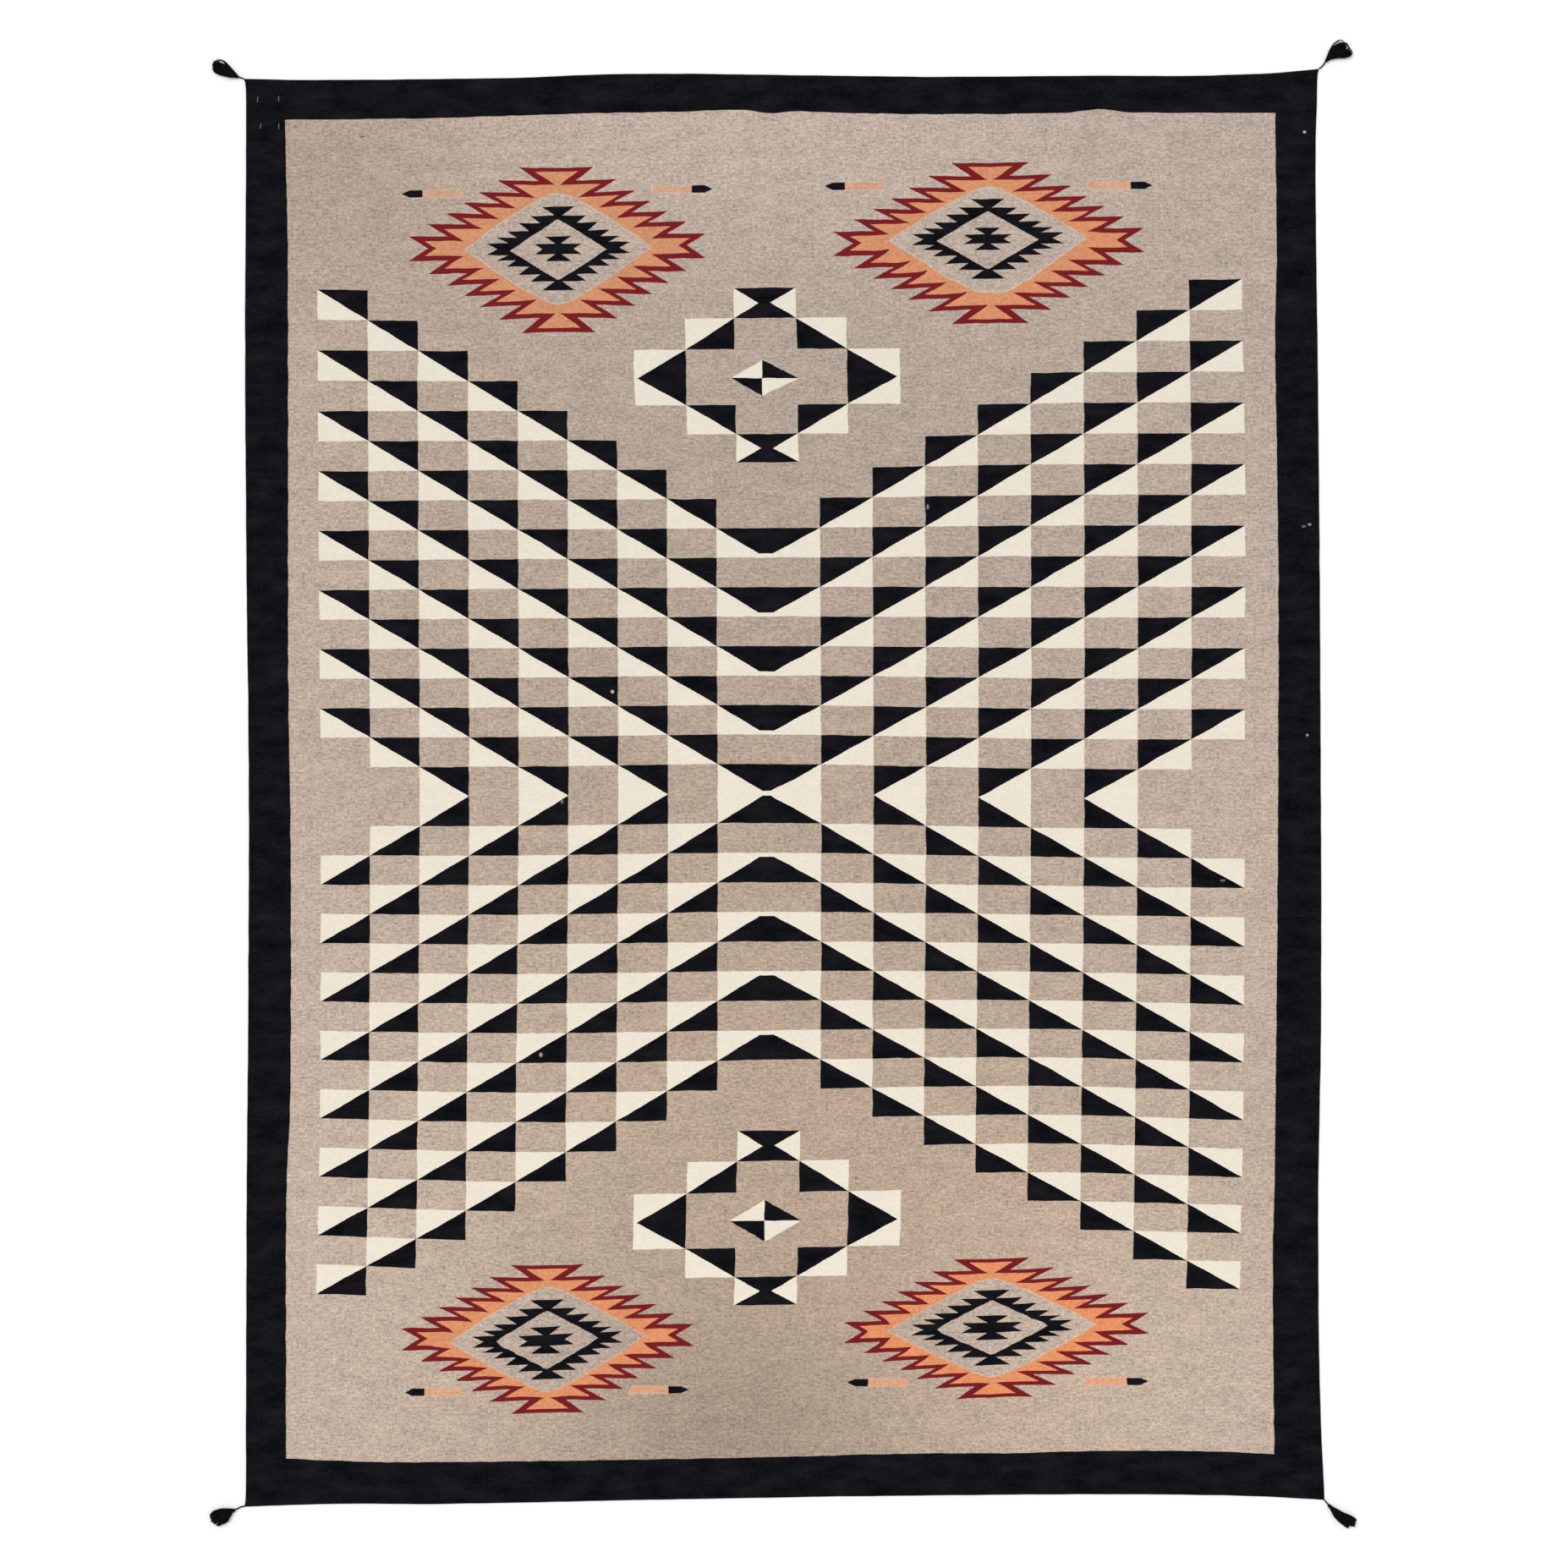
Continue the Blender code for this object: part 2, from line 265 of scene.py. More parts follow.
# Soft lighter and darker patches over the tan, among them painted shade along three folds, and how warm its
# tan is: soft patches in metres
SHADE_BASE = 1.0
SHADES = (
    # x, y, half width, half height, strength
    (-1.20, 1.60, 0.30, 0.30, -0.15),
    (-0.05, 1.66, 0.85, 0.25, 0.12),
    (-1.22, 0.60, 0.16, 1.00, 0.06),
    (-0.10, 0.75, 0.75, 0.60, -0.06),
    (1.20, -0.10, 0.40, 0.70, 0.10),
    (-1.10, -1.20, 0.45, 0.90, 0.16),
    (0.95, -1.50, 0.50, 0.50, 0.17),
    (-0.12, -1.68, 0.33, 0.22, -0.22),
    (-0.30, -1.30, 0.50, 0.30, -0.05),
    # painted shade along three folds, as faint dark lines
    (0.00, 1.20, 0.012, 0.60, -0.04),
    (-0.08, 1.62, 0.012, 0.12, -0.04),
    (0.79, 1.66, 0.030, 0.07, -0.06),
)
WARMTH_BASE = 0.20
WARMTHS = (
    # x, y, half width, half height, strength
    (0.00, -1.20, 1.20, 1.20, 0.6),
    (-1.10, 1.50, 0.50, 1.00, 0.3),
    (0.40, -1.10, 0.60, 0.70, 0.2),
    (-0.30, 0.00, 0.50, 0.60, 0.2),
)

# Stray fibres and stains, in millimetres: the middle, how far from it the spot is half as strong,
# and how strong it is in its middle
DARK_SPECKS = (
    # x, y, half width, half height, strength
    (187, -997, 4, 3, 0.60),
    (-1077, 1667, 5, 3, 0.75),
    (-76, -719, 3, 3, 0.45),
)
PALE_FLECKS = (
    # x, y, half width, half height, strength
    (1347, 675, 4, 3, 0.45),
    (1332, 670, 5, 3, 0.20),
    (1334, 1679, 4, 3, 0.80),
    (1341, 136, 3, 3, 0.60),
    (-437, 247, 4, 4, 0.80),
    (370, 720, 3, 6, 0.35),
    (-620, -682, 4, 5, 0.55),
    (-566, -34, 3, 5, 0.30),
    (1125, -236, 6, 3, 0.22),
)
SPECK = (72, 54, 40)
FLECK = (222, 220, 216)

# Weave
TOOTH_PITCH = 0.0050
TOOTH_DEPTH = 0.0008
WOBBLE = 0.0022
WARP_PITCH = 0.0050
WARP_SWAY = 0.0016
PICK_PITCH = 0.0016

# How strongly the wool's colour varies, and how strong the painted shade of the warp ribs is
MARL_STREAK = 0.32
MARL_BLOTCH = 0.42
MARL_CLOUD = 0.16
RIB_SHADE_STRENGTH = 0.045
WARMTH_MOTTLE = 0.12
HOLE_SHARE = 0.6

# Tassels, in millimetres from the cloth's corner: the line of the neck, the two edges of the tuft
# from the neck to where its end starts, the line of that end from one edge to the other, and the
# yarns that stand off as loops
TASSELS = {
    "tassel_top_left": {
        "corner": (-1, 1),
        "neck": ((0, 0), (-6, 2), (-13, 5), (-19, 6)),
        "one": ((-14, 6), (-21, 13), (-30, 23), (-38, 32), (-45, 39)),
        "other": ((-14, 3), (-24, 2), (-37, 3), (-52, 6), (-66, 10), (-77, 18)),
        "end": ((-45, 39), (-58, 39), (-69, 45), (-77, 40), (-80, 29), (-77, 18)),
        "loops": (
            ((-17, 10), (-30, 25), (-41, 37), (-48, 44), (-57, 48), (-67, 48), (-73, 42)),
            ((-22, 14), (-35, 29), (-44, 38), (-52, 44), (-60, 47), (-69, 45)),
            ((-19, 11), (-33, 26), (-43, 36), (-51, 42)),
        ),
    },
    "tassel_top_right": {
        "corner": (1, 1),
        "neck": ((0, 0), (6, 5), (12, 12), (18, 21)),
        "one": ((15, 20), (19, 31), (24, 42), (31, 52), (40, 60), (51, 65)),
        "other": ((18, 16), (25, 21), (34, 24), (47, 26), (62, 26), (75, 28)),
        "end": ((51, 65), (60, 66), (67, 62), (69, 53), (72, 46), (80, 45), (83, 36), (75, 28)),
        "loops": (
            ((19, 25), (23, 40), (30, 54), (38, 65), (47, 71), (56, 73), (63, 68)),
            ((21, 27), (26, 43), (33, 55), (42, 65), (51, 71)),
            ((53, 61), (62, 67), (70, 65), (75, 58), (76, 51), (73, 42)),
            ((51, 60), (60, 65), (68, 65), (73, 60), (74, 50), (70, 42)),
            ((69, 62), (77, 54), (83, 45), (84, 38)),
        ),
    },
    "tassel_bottom_left": {
        "corner": (-1, -1),
        "neck": ((0, 1), (-8, 0), (-16, -4), (-28, -9)),
        "one": ((-23, -6), (-35, -4), (-45, -3), (-57, -3), (-69, -6), (-80, -9)),
        "other": ((-23, -10), (-29, -15), (-35, -25), (-39, -35), (-44, -39)),
        "end": (
            (-80, -9), (-86, -18), (-85, -29), (-81, -38), (-74, -42), (-65, -48), (-56, -44), (-44, -39),
        ),
        "loops": (),
    },
    "tassel_bottom_right": {
        "corner": (1, -1),
        "neck": ((0, 0), (4, -5), (9, -11), (15, -18)),
        "one": ((11, -11), (22, -17), (35, -24), (48, -31), (61, -36), (74, -43)),
        "other": ((8, -14), (15, -25), (21, -37), (28, -47), (39, -57), (50, -65)),
        "end": (
            (74, -43), (80, -49), (78, -59), (74, -66), (68, -65), (64, -63), (61, -70), (57, -70), (50, -65),
        ),
        "loops": (),
    },
}
YARNS = 105
YARN_RADIUS = 0.00095
YARN_SIDES = 6
YARN_STEPS = 26
PLY_PITCH = 0.008
TUFT_HALF_HEIGHT = 0.0052
LOOP_HEIGHT = 0.0030
NECK_PLIES = 3
NECK_PLY_RADIUS = 0.0010
NECK_HELIX_RADIUS = 0.00095
NECK_TURN = 0.010

# Tack stitches in the border: the places of their lower ends, in millimetres
STITCHES = (
    # x, y, lean
    (-1345.0, 1755.5, 1.0),
    (-1291.0, 1757.5, 0.5),
    (-1337.5, 1687.5, 1.5),
    (-1290.5, 1687.5, 0.5),
)
STITCH_LENGTH = 0.0135
STITCH_RADIUS = 0.0009

# The camera looks straight down at the middle of the photograph's frame
VIEW_CENTRE = (0.002165, 0.010825)
VIEW_WIDTH = 4.014
CAMERA_HEIGHT = 7.0
FLOOR_HALF = 14.0

# Light: a white room, and a soft key from the upper left with its turns in degrees
SKY_STRENGTH = 0.80
SUN_STRENGTH = 1.25
SUN_SIZE = 25.0
SUN_TURN = (0.0, -38.0, -35.0)


def smooth_interpolate(rows, at):
    """Read a smooth curve through rows of (position, value), sorted by position."""
    positions = [row[0] for row in rows]
    values = [row[1] for row in rows]
    last = len(rows) - 1
    index = 0
    while index < last - 1 and at > positions[index + 1]:
        index += 1

    def slope(point):
        before = max(point - 1, 0)
        after = min(point + 1, last)
        return (values[after] - values[before]) / (positions[after] - positions[before])

    span = positions[index + 1] - positions[index]
    t = min(max((at - positions[index]) / span, 0.0), 1.0)
    start_weight = 2 * t ** 3 - 3 * t ** 2 + 1
    end_weight = 1 - start_weight
    start_slope_weight = t ** 3 - 2 * t ** 2 + t
    end_slope_weight = t ** 3 - t ** 2
    return (
        start_weight * values[index]
        + end_weight * values[index + 1]
        + span * (start_slope_weight * slope(index) + end_slope_weight * slope(index + 1))
    )


def linear_interpolate(rows, at):
    """Read a broken line through rows of (position, value); its end pieces run on past the rows."""
    index = 0
    while index < len(rows) - 2 and at > rows[index + 1][0]:
        index += 1
    start, value = rows[index]
    end, next_value = rows[index + 1]
    return value + (next_value - value) * (at - start) / (end - start)


def smooth_step(low, high, value):
    """Ease from 0 at the low value to 1 at the high value."""
    t = min(max((value - low) / (high - low), 0.0), 1.0)
    return t * t * (3 - 2 * t)


# The cloth's plan and relief


def edge_bow(side, fraction):
    """How far an edge bows out, in metres."""
    return smooth_interpolate(EDGE_BOWS[side], fraction) * MM


def cloth_point(across, along):
    """Plan position of the cloth at fractions of its width and length."""
    left = -CLOTH_WIDTH / 2 - edge_bow("left", along)
    right = CLOTH_WIDTH / 2 + edge_bow("right", along)
    bottom = -CLOTH_LENGTH / 2 - edge_bow("bottom", across)
    top = CLOTH_LENGTH / 2 + edge_bow("top", across)
    return left + (right - left) * across, bottom + (top - bottom) * along


def fold_height(x, y):
    """Height of the soft folds above the level cloth."""
    height = 0.0
    for x1, y1, x2, y2, half_width, fold in FOLDS:
        length_squared = (x2 - x1) ** 2 + (y2 - y1) ** 2
        t = ((x - x1) * (x2 - x1) + (y - y1) * (y2 - y1)) / length_squared
        t = min(max(t, 0.0), 1.0)
        distance = math.hypot(x - x1 - t * (x2 - x1), y - y1 - t * (y2 - y1))
        if distance < half_width:
            height += fold * 0.5 * (1 + math.cos(math.pi * distance / half_width))
    return height


def undulation(x, y):
    """The gentle unevenness with which the cloth lies on the floor."""
    broad = noise.noise(Vector((x / UNDULATION_SIZE, y / UNDULATION_SIZE, 3.1)))
    narrow = noise.noise(Vector((x / UNDULATION_SIZE * 2.7, y / UNDULATION_SIZE * 2.3, 8.4)))
    return UNDULATION * (1.0 + broad + 0.4 * narrow)


def edge_profile(distance):
    """How full the cloth is at a distance from its edge: none at the rim, 1 from a little way in."""
    if distance >= RIM_RADIUS:
        return 1.0
    return math.sqrt(max(1 - (1 - distance / RIM_RADIUS) ** 2, 0.0))


def selvedge(distance):
    """How much thicker the cloth is near its edge, where the outer warps are doubled."""
    return SELVEDGE_BULGE * math.exp(-((distance - SELVEDGE_PLACE) / SELVEDGE_SPREAD) ** 2)


def cloth_faces(x, y, side_distance, end_distance):
    """Heights of the cloth's lower and upper face."""
    distance = min(side_distance, end_distance)
    full = edge_profile(distance) * (1 + max(selvedge(side_distance), END_SHARE * selvedge(end_distance)))
    half = CLOTH_THICKNESS / 2 * full
    settled = EDGE_LIFT + (1 - EDGE_LIFT) * smooth_step(0.0, SETTLE_DEPTH, distance)
    middle = (undulation(x, y) + fold_height(x, y)) * settled + CLOTH_THICKNESS / 2 * max(full, 1.0)
    return middle - half, middle + half


# The pattern: from a place on the cloth to its place in the even design


class Motif:
    """One motif: where it was woven, and where it stands in the even design."""

    def __init__(self, woven, even_place, even_half):
        self.x, self.y, self.left, self.right, self.down, self.up = (value * MM for value in woven[:6])
        self.rise, self.lean = woven[6:8]
        self.u, self.v = even_place
        self.even_width, self.even_height = (value * MM for value in even_half)
        self.inner = None
        self.inner_reach = None

    def hold(self, inner, reach):
        """Hold an inner motif, whose own place counts up to the first reach from its middle."""
        self.inner = inner
        self.inner_reach = reach

    def offset(self, x, y):
        """Offset from the motif's middle, in the even design's measure."""
        dy = y - self.y
        dx = x - self.x - self.lean * dy
        dy -= self.rise * dx
        dx *= self.even_width / (self.right if dx > 0 else self.left)
        dy *= self.even_height / (self.up if dy > 0 else self.down)
        return dx, dy

    def reach(self, x, y):
        """Distance from the middle, where 1 is at the tips of a diamond of the motif's size."""
        dx, dy = self.offset(x, y)
        return abs(dx) / self.even_width + abs(dy) / self.even_height

    def even_place(self, x, y):
        """Where a point of the cloth falls in the even design, by this motif."""
        dx, dy = self.offset(x, y)
        place = (self.u + dx, self.v + dy)
        if self.inner is None:
            return place
        share = smooth_step(*self.inner_reach, self.inner.reach(x, y))
        inner_place = self.inner.even_place(x, y)
        return tuple(inner + (outer - inner) * share for inner, outer in zip(inner_place, place))

    def distance(self, x, y):
        """How far a point lies outside the motif."""
        dx, dy = self.offset(x, y)
        return self.outside(abs(dx), abs(dy))

    def outside(self, across, along):
        return box_distance(across, along, self.even_width, self.even_height)


class Medallion(Motif):
    """Three crossed boxes, which are the arms and the corners of the medallion."""

    def outside(self, across, along):
        boxes = zip(MEDALLION_ACROSS, reversed(MEDALLION_ALONG))
        return min(box_distance(across, along, width * MM, height * MM) for width, height in boxes)


class Diamond(Motif):
    """A diamond that just holds the teeth, with its corners cut off."""

    def outside(self, across, along):
        beyond_box = box_distance(across, along, self.even_width, self.even_height)
        reach = across / DIAMOND_HULL[0] + along / DIAMOND_HULL[1]
        beyond_slant = (reach - 1) / math.hypot(1 / DIAMOND_HULL[0], 1 / DIAMOND_HULL[1])
        return max(beyond_box, beyond_slant)


class Arrow(Motif):
    """A box with some cloth round it, so that the mesh's cells all lie inside it."""

    def outside(self, across, along):
        return box_distance(across, along, self.even_width + ARROW_MARGIN, self.even_height + ARROW_MARGIN)


def box_distance(across, along, half_width, half_height):
    """How far a point lies outside a box round the origin."""
    return math.hypot(max(across - half_width, 0.0), max(along - half_height, 0.0))


def make_motifs():
    """All the medallions, diamonds and arrows, each as it was woven."""
    motifs = []
    for woven, heart in zip(MEDALLIONS, HEARTS):
        place = (0.0, MEDALLION_V * woven[9])
        motif = Medallion(woven, place, MEDALLION_HALF)
        motif.hold(Motif(heart, place, HEART_HALF), HEART_REACH)
        motifs.append(motif)
    for woven, ring, core in zip(OUTLINES, RINGS, CORES):
        place = (DIAMOND_U * woven[8], DIAMOND_V * woven[9])
        inner = Motif(ring, place, RING_HALF)
        inner.hold(Motif(core, place, CORE_HALF), CORE_REACH)
        motif = Diamond(woven, place, OUTLINE_HALF)
        motif.hold(inner, RING_REACH)
        motifs.append(motif)
    for x, y, half_length, row, side in ARROWS:
        u_side, v_side = OUTLINES[row][8:]
        u = DIAMOND_U * u_side + ARROW_CENTRE[0] * MM * side
        v = (DIAMOND_V + ARROW_CENTRE[1] * MM) * v_side
        woven = (x, y, half_length, half_length, ARROW_HALF[1], ARROW_HALF[1], 0.0, 0.0)
        motifs.append(Arrow(woven, (u, v), ARROW_HALF))
    return motifs


def drift(x, y, table):
    """Read a drift table smoothly between its rows and columns, in metres."""
    across = [
        (at, smooth_interpolate(list(zip(DRIFT_ACROSS_AT, row)), x / MM))
        for at, row in zip(DRIFT_ALONG_AT, table)
    ]
    return smooth_interpolate(across, y / MM) * MM


def lattice_place(x, y):
    """Where a point of the cloth falls in the even design's lattice of cells."""
    straight_x = x - drift(x, y, DRIFT_RIGHT)
    straight_y = y - drift(x, y, DRIFT_UP)
    return linear_interpolate(COLUMN_LINES, straight_x / MM) * CELL_WIDTH, straight_y - LATTICE_MIDDLE_Y


def lattice_distance(u, v):
    """How far a place of the even design lies outside the hourglass of cells."""
    columns = abs(u) / CELL_WIDTH
    rows = abs(v) / CELL_HEIGHT
    beyond_steps = max(rows - columns - SIDE_COLUMNS - 1, 0.0) * CELL_HEIGHT
    beyond_sides = max(columns - SIDE_COLUMNS - 1, 0.0) * CELL_WIDTH
    return math.hypot(beyond_steps, beyond_sides)


def design_place(x, y, motifs):
    """Where a point of the cloth falls in the even design, led by whichever motif is near."""
    place = lattice_place(x, y)
    weight = 1 / (lattice_distance(*place) + ZONE_EDGE) ** 3
    total = weight
    u = place[0] * weight
    v = place[1] * weight
    for motif in motifs:
        weight = 1 / (motif.distance(x, y) + ZONE_EDGE) ** 3
        place = motif.even_place(x, y)
        u += place[0] * weight
        v += place[1] * weight
        total += weight
    return u / total, v / total


def patch_tone(x, y, patches, base):
    """A tone that varies softly over the cloth: a base and a few soft patches."""
    tone = base
    for centre_x, centre_y, half_width, half_height, strength in patches:
        reach = ((x - centre_x) / half_width) ** 2 + ((y - centre_y) / half_height) ** 2
        tone += strength * math.exp(-0.7 * reach)
    return tone


def border_line(side, at):
    """Place of the border's inner edge, in metres."""
    return smooth_interpolate(BORDER_LINES[side], at / MM) * MM


def field_depth(x, y):
    """How far inside the border's inner edge a point lies, across and along; below 0 is border."""
    across = min(x - border_line("left", y), border_line("right", y) - x)
    along = min(y - border_line("bottom", x), border_line("top", x) - y)
    return across, along


# The cloth's mesh


def edge_stations(length, count):
    """Fractions along a side, closer together at both ends so that the rim is round."""
    near = [distance / length for distance in EDGE_STATIONS]
    first = near[-1]
    even = [first + (1 - 2 * first) * step / count for step in range(1, count)]
    return near + even + [1 - value for value in reversed(near)]


def rim_distance(fraction, length):
    """Distance in from the nearer end of a side."""
    return min(fraction, 1 - fraction) * length


def build_cloth():
    """The whole cloth as one closed sheet, its two faces meeting in a round rim."""
    across_stations = edge_stations(CLOTH_WIDTH, CELLS_ACROSS)
    along_stations = edge_stations(CLOTH_LENGTH, CELLS_ALONG)
    last_i = len(across_stations) - 1
    last_j = len(along_stations) - 1
    motifs = make_motifs()
    vertices = []
    maps = {"OFBake": [], "design": [], "field": []}
    tones = {"shade": [], "warmth": []}
    upper = {}
    lower = {}
    for i, across in enumerate(across_stations):
        for j, along in enumerate(along_stations):
            side_distance = rim_distance(across, CLOTH_WIDTH)
            end_distance = rim_distance(along, CLOTH_LENGTH)
            x, y = cloth_point(across, along)
            wave = EDGE_WAVE * noise.noise(Vector((x / EDGE_WAVE_LENGTH, y / EDGE_WAVE_LENGTH, 0.5)))
            x += wave * max(1 - side_distance / EDGE_WAVE_DEPTH, 0.0)
            y += wave * max(1 - end_distance / EDGE_WAVE_DEPTH, 0.0)
            low, high = cloth_faces(x, y, side_distance, end_distance)
            upper[i, j] = len(vertices)
            lower[i, j] = upper[i, j]
            heights = [high]
            if 0 < i < last_i and 0 < j < last_j:
                lower[i, j] += 1
                heights.append(low)
            place = design_place(x, y, motifs)
            depth = field_depth(x, y)
            shade = patch_tone(x, y, SHADES, SHADE_BASE)
            warmth = patch_tone(x, y, WARMTHS, WARMTH_BASE)
            for height in heights:
                vertices.append((x, y, height))
                maps["OFBake"].append((across, along))
                maps["design"].append(place)
                maps["field"].append(depth)
                tones["shade"].append(shade)
                tones["warmth"].append(warmth)
    faces = []
    for i in range(last_i):
        for j in range(last_j):
            cell = ((i, j), (i + 1, j), (i + 1, j + 1), (i, j + 1))
            faces.append([upper[key] for key in cell])
            faces.append([lower[key] for key in reversed(cell)])
    mesh = bpy.data.meshes.new("rug_cloth")
    mesh.from_pydata(vertices, [], faces)
    mesh.shade_smooth()
    corners = [loop.vertex_index for loop in mesh.loops]
    for name, values in maps.items():
        layer = mesh.uv_layers.new(name=name)
        layer.uv.foreach_set("vector", [number for corner in corners for number in values[corner]])
    for name, values in tones.items():
        mesh.attributes.new(name, "FLOAT", "POINT").data.foreach_set("value", values)
    cloth = bpy.data.objects.new("rug_cloth", mesh)
    bpy.context.scene.collection.objects.link(cloth)
    return cloth


# Arithmetic in a material's nodes


class Wire:
    """A number in a material's node graph, with Python's own arithmetic."""

    tree = None

    def __init__(self, socket):
        self.socket = socket

    def __add__(self, other):
        return maths("ADD", self, other)

    __radd__ = __add__

    def __sub__(self, other):
        return maths("SUBTRACT", self, other)

    def __rsub__(self, other):
        return maths("SUBTRACT", other, self)

    def __mul__(self, other):
        return maths("MULTIPLY", self, other)

    __rmul__ = __mul__

    def __truediv__(self, other):
        return maths("DIVIDE", self, other)

    def __abs__(self):
        return maths("ABSOLUTE", self)


def plug(value, socket):
    """Link a wire to a socket, or set the socket to a plain value."""
    if isinstance(value, Wire):
        Wire.tree.links.new(value.socket, socket)
    else:
        socket.default_value = value


def maths(operation, *values):
    node = Wire.tree.nodes.new("ShaderNodeMath")
    node.operation = operation
    for value, socket in zip(values, node.inputs):
        plug(value, socket)
    return Wire(node.outputs[0])


def below(value, limit):
    return maths("LESS_THAN", value, limit)


def above(value, limit):
    return maths("GREATER_THAN", value, limit)


def smaller(one, other):
    return maths("MINIMUM", one, other)


def larger(one, other):
    return maths("MAXIMUM", one, other)


def times_plus(value, factor, added):
    return maths("MULTIPLY_ADD", value, factor, added)


def clamped(value):
    return smaller(larger(value, 0.0), 1.0)


def broken_line(value, rows):
    """Read a broken line through rows of (position, height) with one curve node."""
    reach = max(row[0] for row in rows)
    height = max(row[1] for row in rows)
    node = Wire.tree.nodes.new("ShaderNodeFloatCurve")
    curve = node.mapping.curves[0]
    points = [(row[0] / reach, row[1] / height) for row in rows]
    curve.points[0].location = points[0]
    curve.points[1].location = points[-1]
    for point in points[1:-1]:
        curve.points.new(*point)
    for point in curve.points:
        point.handle_type = "VECTOR"
    node.mapping.update()
    plug(value * (1 / reach), node.inputs["Value"])
    return Wire(node.outputs[0]) * height


def mixed(factor, under, over):
    """Colour under, with the colour over laid on it by a factor from 0 to 1."""
    node = Wire.tree.nodes.new("ShaderNodeMix")
    node.data_type = "RGBA"
    node.clamp_factor = True
    plug(factor, node.inputs[0])
    plug(under, node.inputs[6])
    plug(over, node.inputs[7])
    return Wire(node.outputs[2])


def scaled_by(colour, factor):
    node = Wire.tree.nodes.new("ShaderNodeVectorMath")
    node.operation = "SCALE"
    plug(colour if isinstance(colour, Wire) else colour[:3], node.inputs[0])
    plug(factor, node.inputs["Scale"])
    return Wire(node.outputs[0])


def split(vector):
    node = Wire.tree.nodes.new("ShaderNodeSeparateXYZ")
    plug(vector, node.inputs[0])
    return Wire(node.outputs[0]), Wire(node.outputs[1])


def object_place():
    node = Wire.tree.nodes.new("ShaderNodeTexCoord")
    return Wire(node.outputs["Object"])


def mesh_value(name):
    """A value that the mesh holds at each of its points."""
    node = Wire.tree.nodes.new("ShaderNodeAttribute")
    node.attribute_name = name
    return Wire(node.outputs["Fac"])


def map_place(name):
    node = Wire.tree.nodes.new("ShaderNodeUVMap")
    node.uv_map = name
    return split(Wire(node.outputs[0]))


def grain(place, size_x, size_y, detail=1.0, seed=0.0):
    """Noise from about -1 to 1 with grains of that size in metres."""
    stretch = Wire.tree.nodes.new("ShaderNodeMapping")
    stretch.inputs["Location"].default_value = (seed, seed * 1.7, 0.0)
    stretch.inputs["Scale"].default_value = (1 / size_x, 1 / size_y, 1.0)
    plug(place, stretch.inputs["Vector"])
    node = Wire.tree.nodes.new("ShaderNodeTexNoise")
    node.noise_dimensions = "2D"
    node.inputs["Scale"].default_value = 1.0
    node.inputs["Detail"].default_value = detail
    plug(Wire(stretch.outputs[0]), node.inputs["Vector"])
    return times_plus(Wire(node.outputs["Fac"]), 2.0, -1.0)


def yarn(colour):
    """The colour of a yarn that shows as these 0 to 255 screen values in the scene's light."""
    channels = []
    for value in colour:
        part = value / 255
        light = part / 12.92 if part <= 0.04045 else ((part + 0.055) / 1.055) ** 2.4
        channels.append(max(light - SURFACE_GLOSS, 0.001) / LIGHT_LEVEL)
    return (*channels, 1.0)


# The pattern of the even design, in nodes


def cells(u, v):
    """The hourglass of half black, half cream cells. Returns the black and the cream."""
    column = times_plus(abs(u), -1 / CELL_WIDTH, SIDE_COLUMNS + 1.0)
    row = times_plus(abs(v), -1 / CELL_HEIGHT, float(HALF_ROWS))
    i = smaller(maths("FLOOR", column), float(SIDE_COLUMNS))
    j = maths("FLOOR", row)
    half_step = (j - i) * 0.5
    woven = below(maths("FRACT", half_step), 0.25) * above(half_step, -0.25)
    woven = woven * below(half_step, LONGEST_RUN / 2 + 0.25) * above(column, 0.0)
    in_valley = above(column, float(SIDE_COLUMNS))
    at_middle = above(row, HALF_ROWS - 1.0)
    shorter = times_plus(at_middle, VALLEY_TIP - VALLEY_TIP_AT_MIDDLE, 1 - VALLEY_TIP)
    tip = 1.0 - in_valley * shorter
    is_black = below(row - j, smaller(column - i, tip))
    black = woven * is_black
    return black, woven - black


def medallion(u, v):
    """The stepped medallion and the small quartered diamond at its heart."""
    across = abs(u)
    along = abs(abs(v) - MEDALLION_V)
    p1, p2, p3 = (value * MM for value in MEDALLION_ACROSS)
    q1, q2, q3 = (value * MM for value in MEDALLION_ALONG)
    near_p1 = below(across, p1)
    near_p2 = below(across, p2)
    near_q1 = below(along, q1)
    near_q2 = below(along, q2)
    end_arm = near_p1 * (below(along, q3) - near_q2)
    corner = (near_p2 - near_p1) * (near_q2 - near_q1)
    side_arm = (below(across, p3) - near_p2) * near_q1
    bow = abs(along - (q2 + q3) / 2) * (2 * (p1 - BOW_NECK) / (q3 - q2)) + BOW_NECK
    bow_black = end_arm * below(across, bow)
    slant = (across - p1) * (1 / (p2 - p1)) + (along - q1) * (1 / (q2 - q1))
    corner_black = corner * below(slant, 1.0)
    tip_line = (across - p2) * (-q1 / (p3 - p2 - ARM_TIP_SHORT)) + q1
    arm_black = side_arm * below(along, tip_line)
    black = bow_black + corner_black + arm_black
    cream = end_arm + corner + side_arm - black
    heart = plain_diamond(across, along, (*HEART_HALF, 0.0))
    heart_black = heart * above(u * (abs(v) - MEDALLION_V) * v, 0.0)
    return black + heart_black, cream + heart - heart_black


def serrated(across, along, teeth):
    """Inside of a toothed form that is alike on all four sides."""
    rows = []
    base = 0.0
    for height, tip, notch in reversed(teeth):
        rows.append((base + 0.0002, notch * MM))
        slope = min(height * MM * SPLAY_GROWTH, SPLAY)
        base = height * MM - slope * max(tip * MM - SPLAY_FROM, 0.0)
        rows.append((base, tip * MM))
    return below(across, broken_line(along, rows)) * below(along, base)


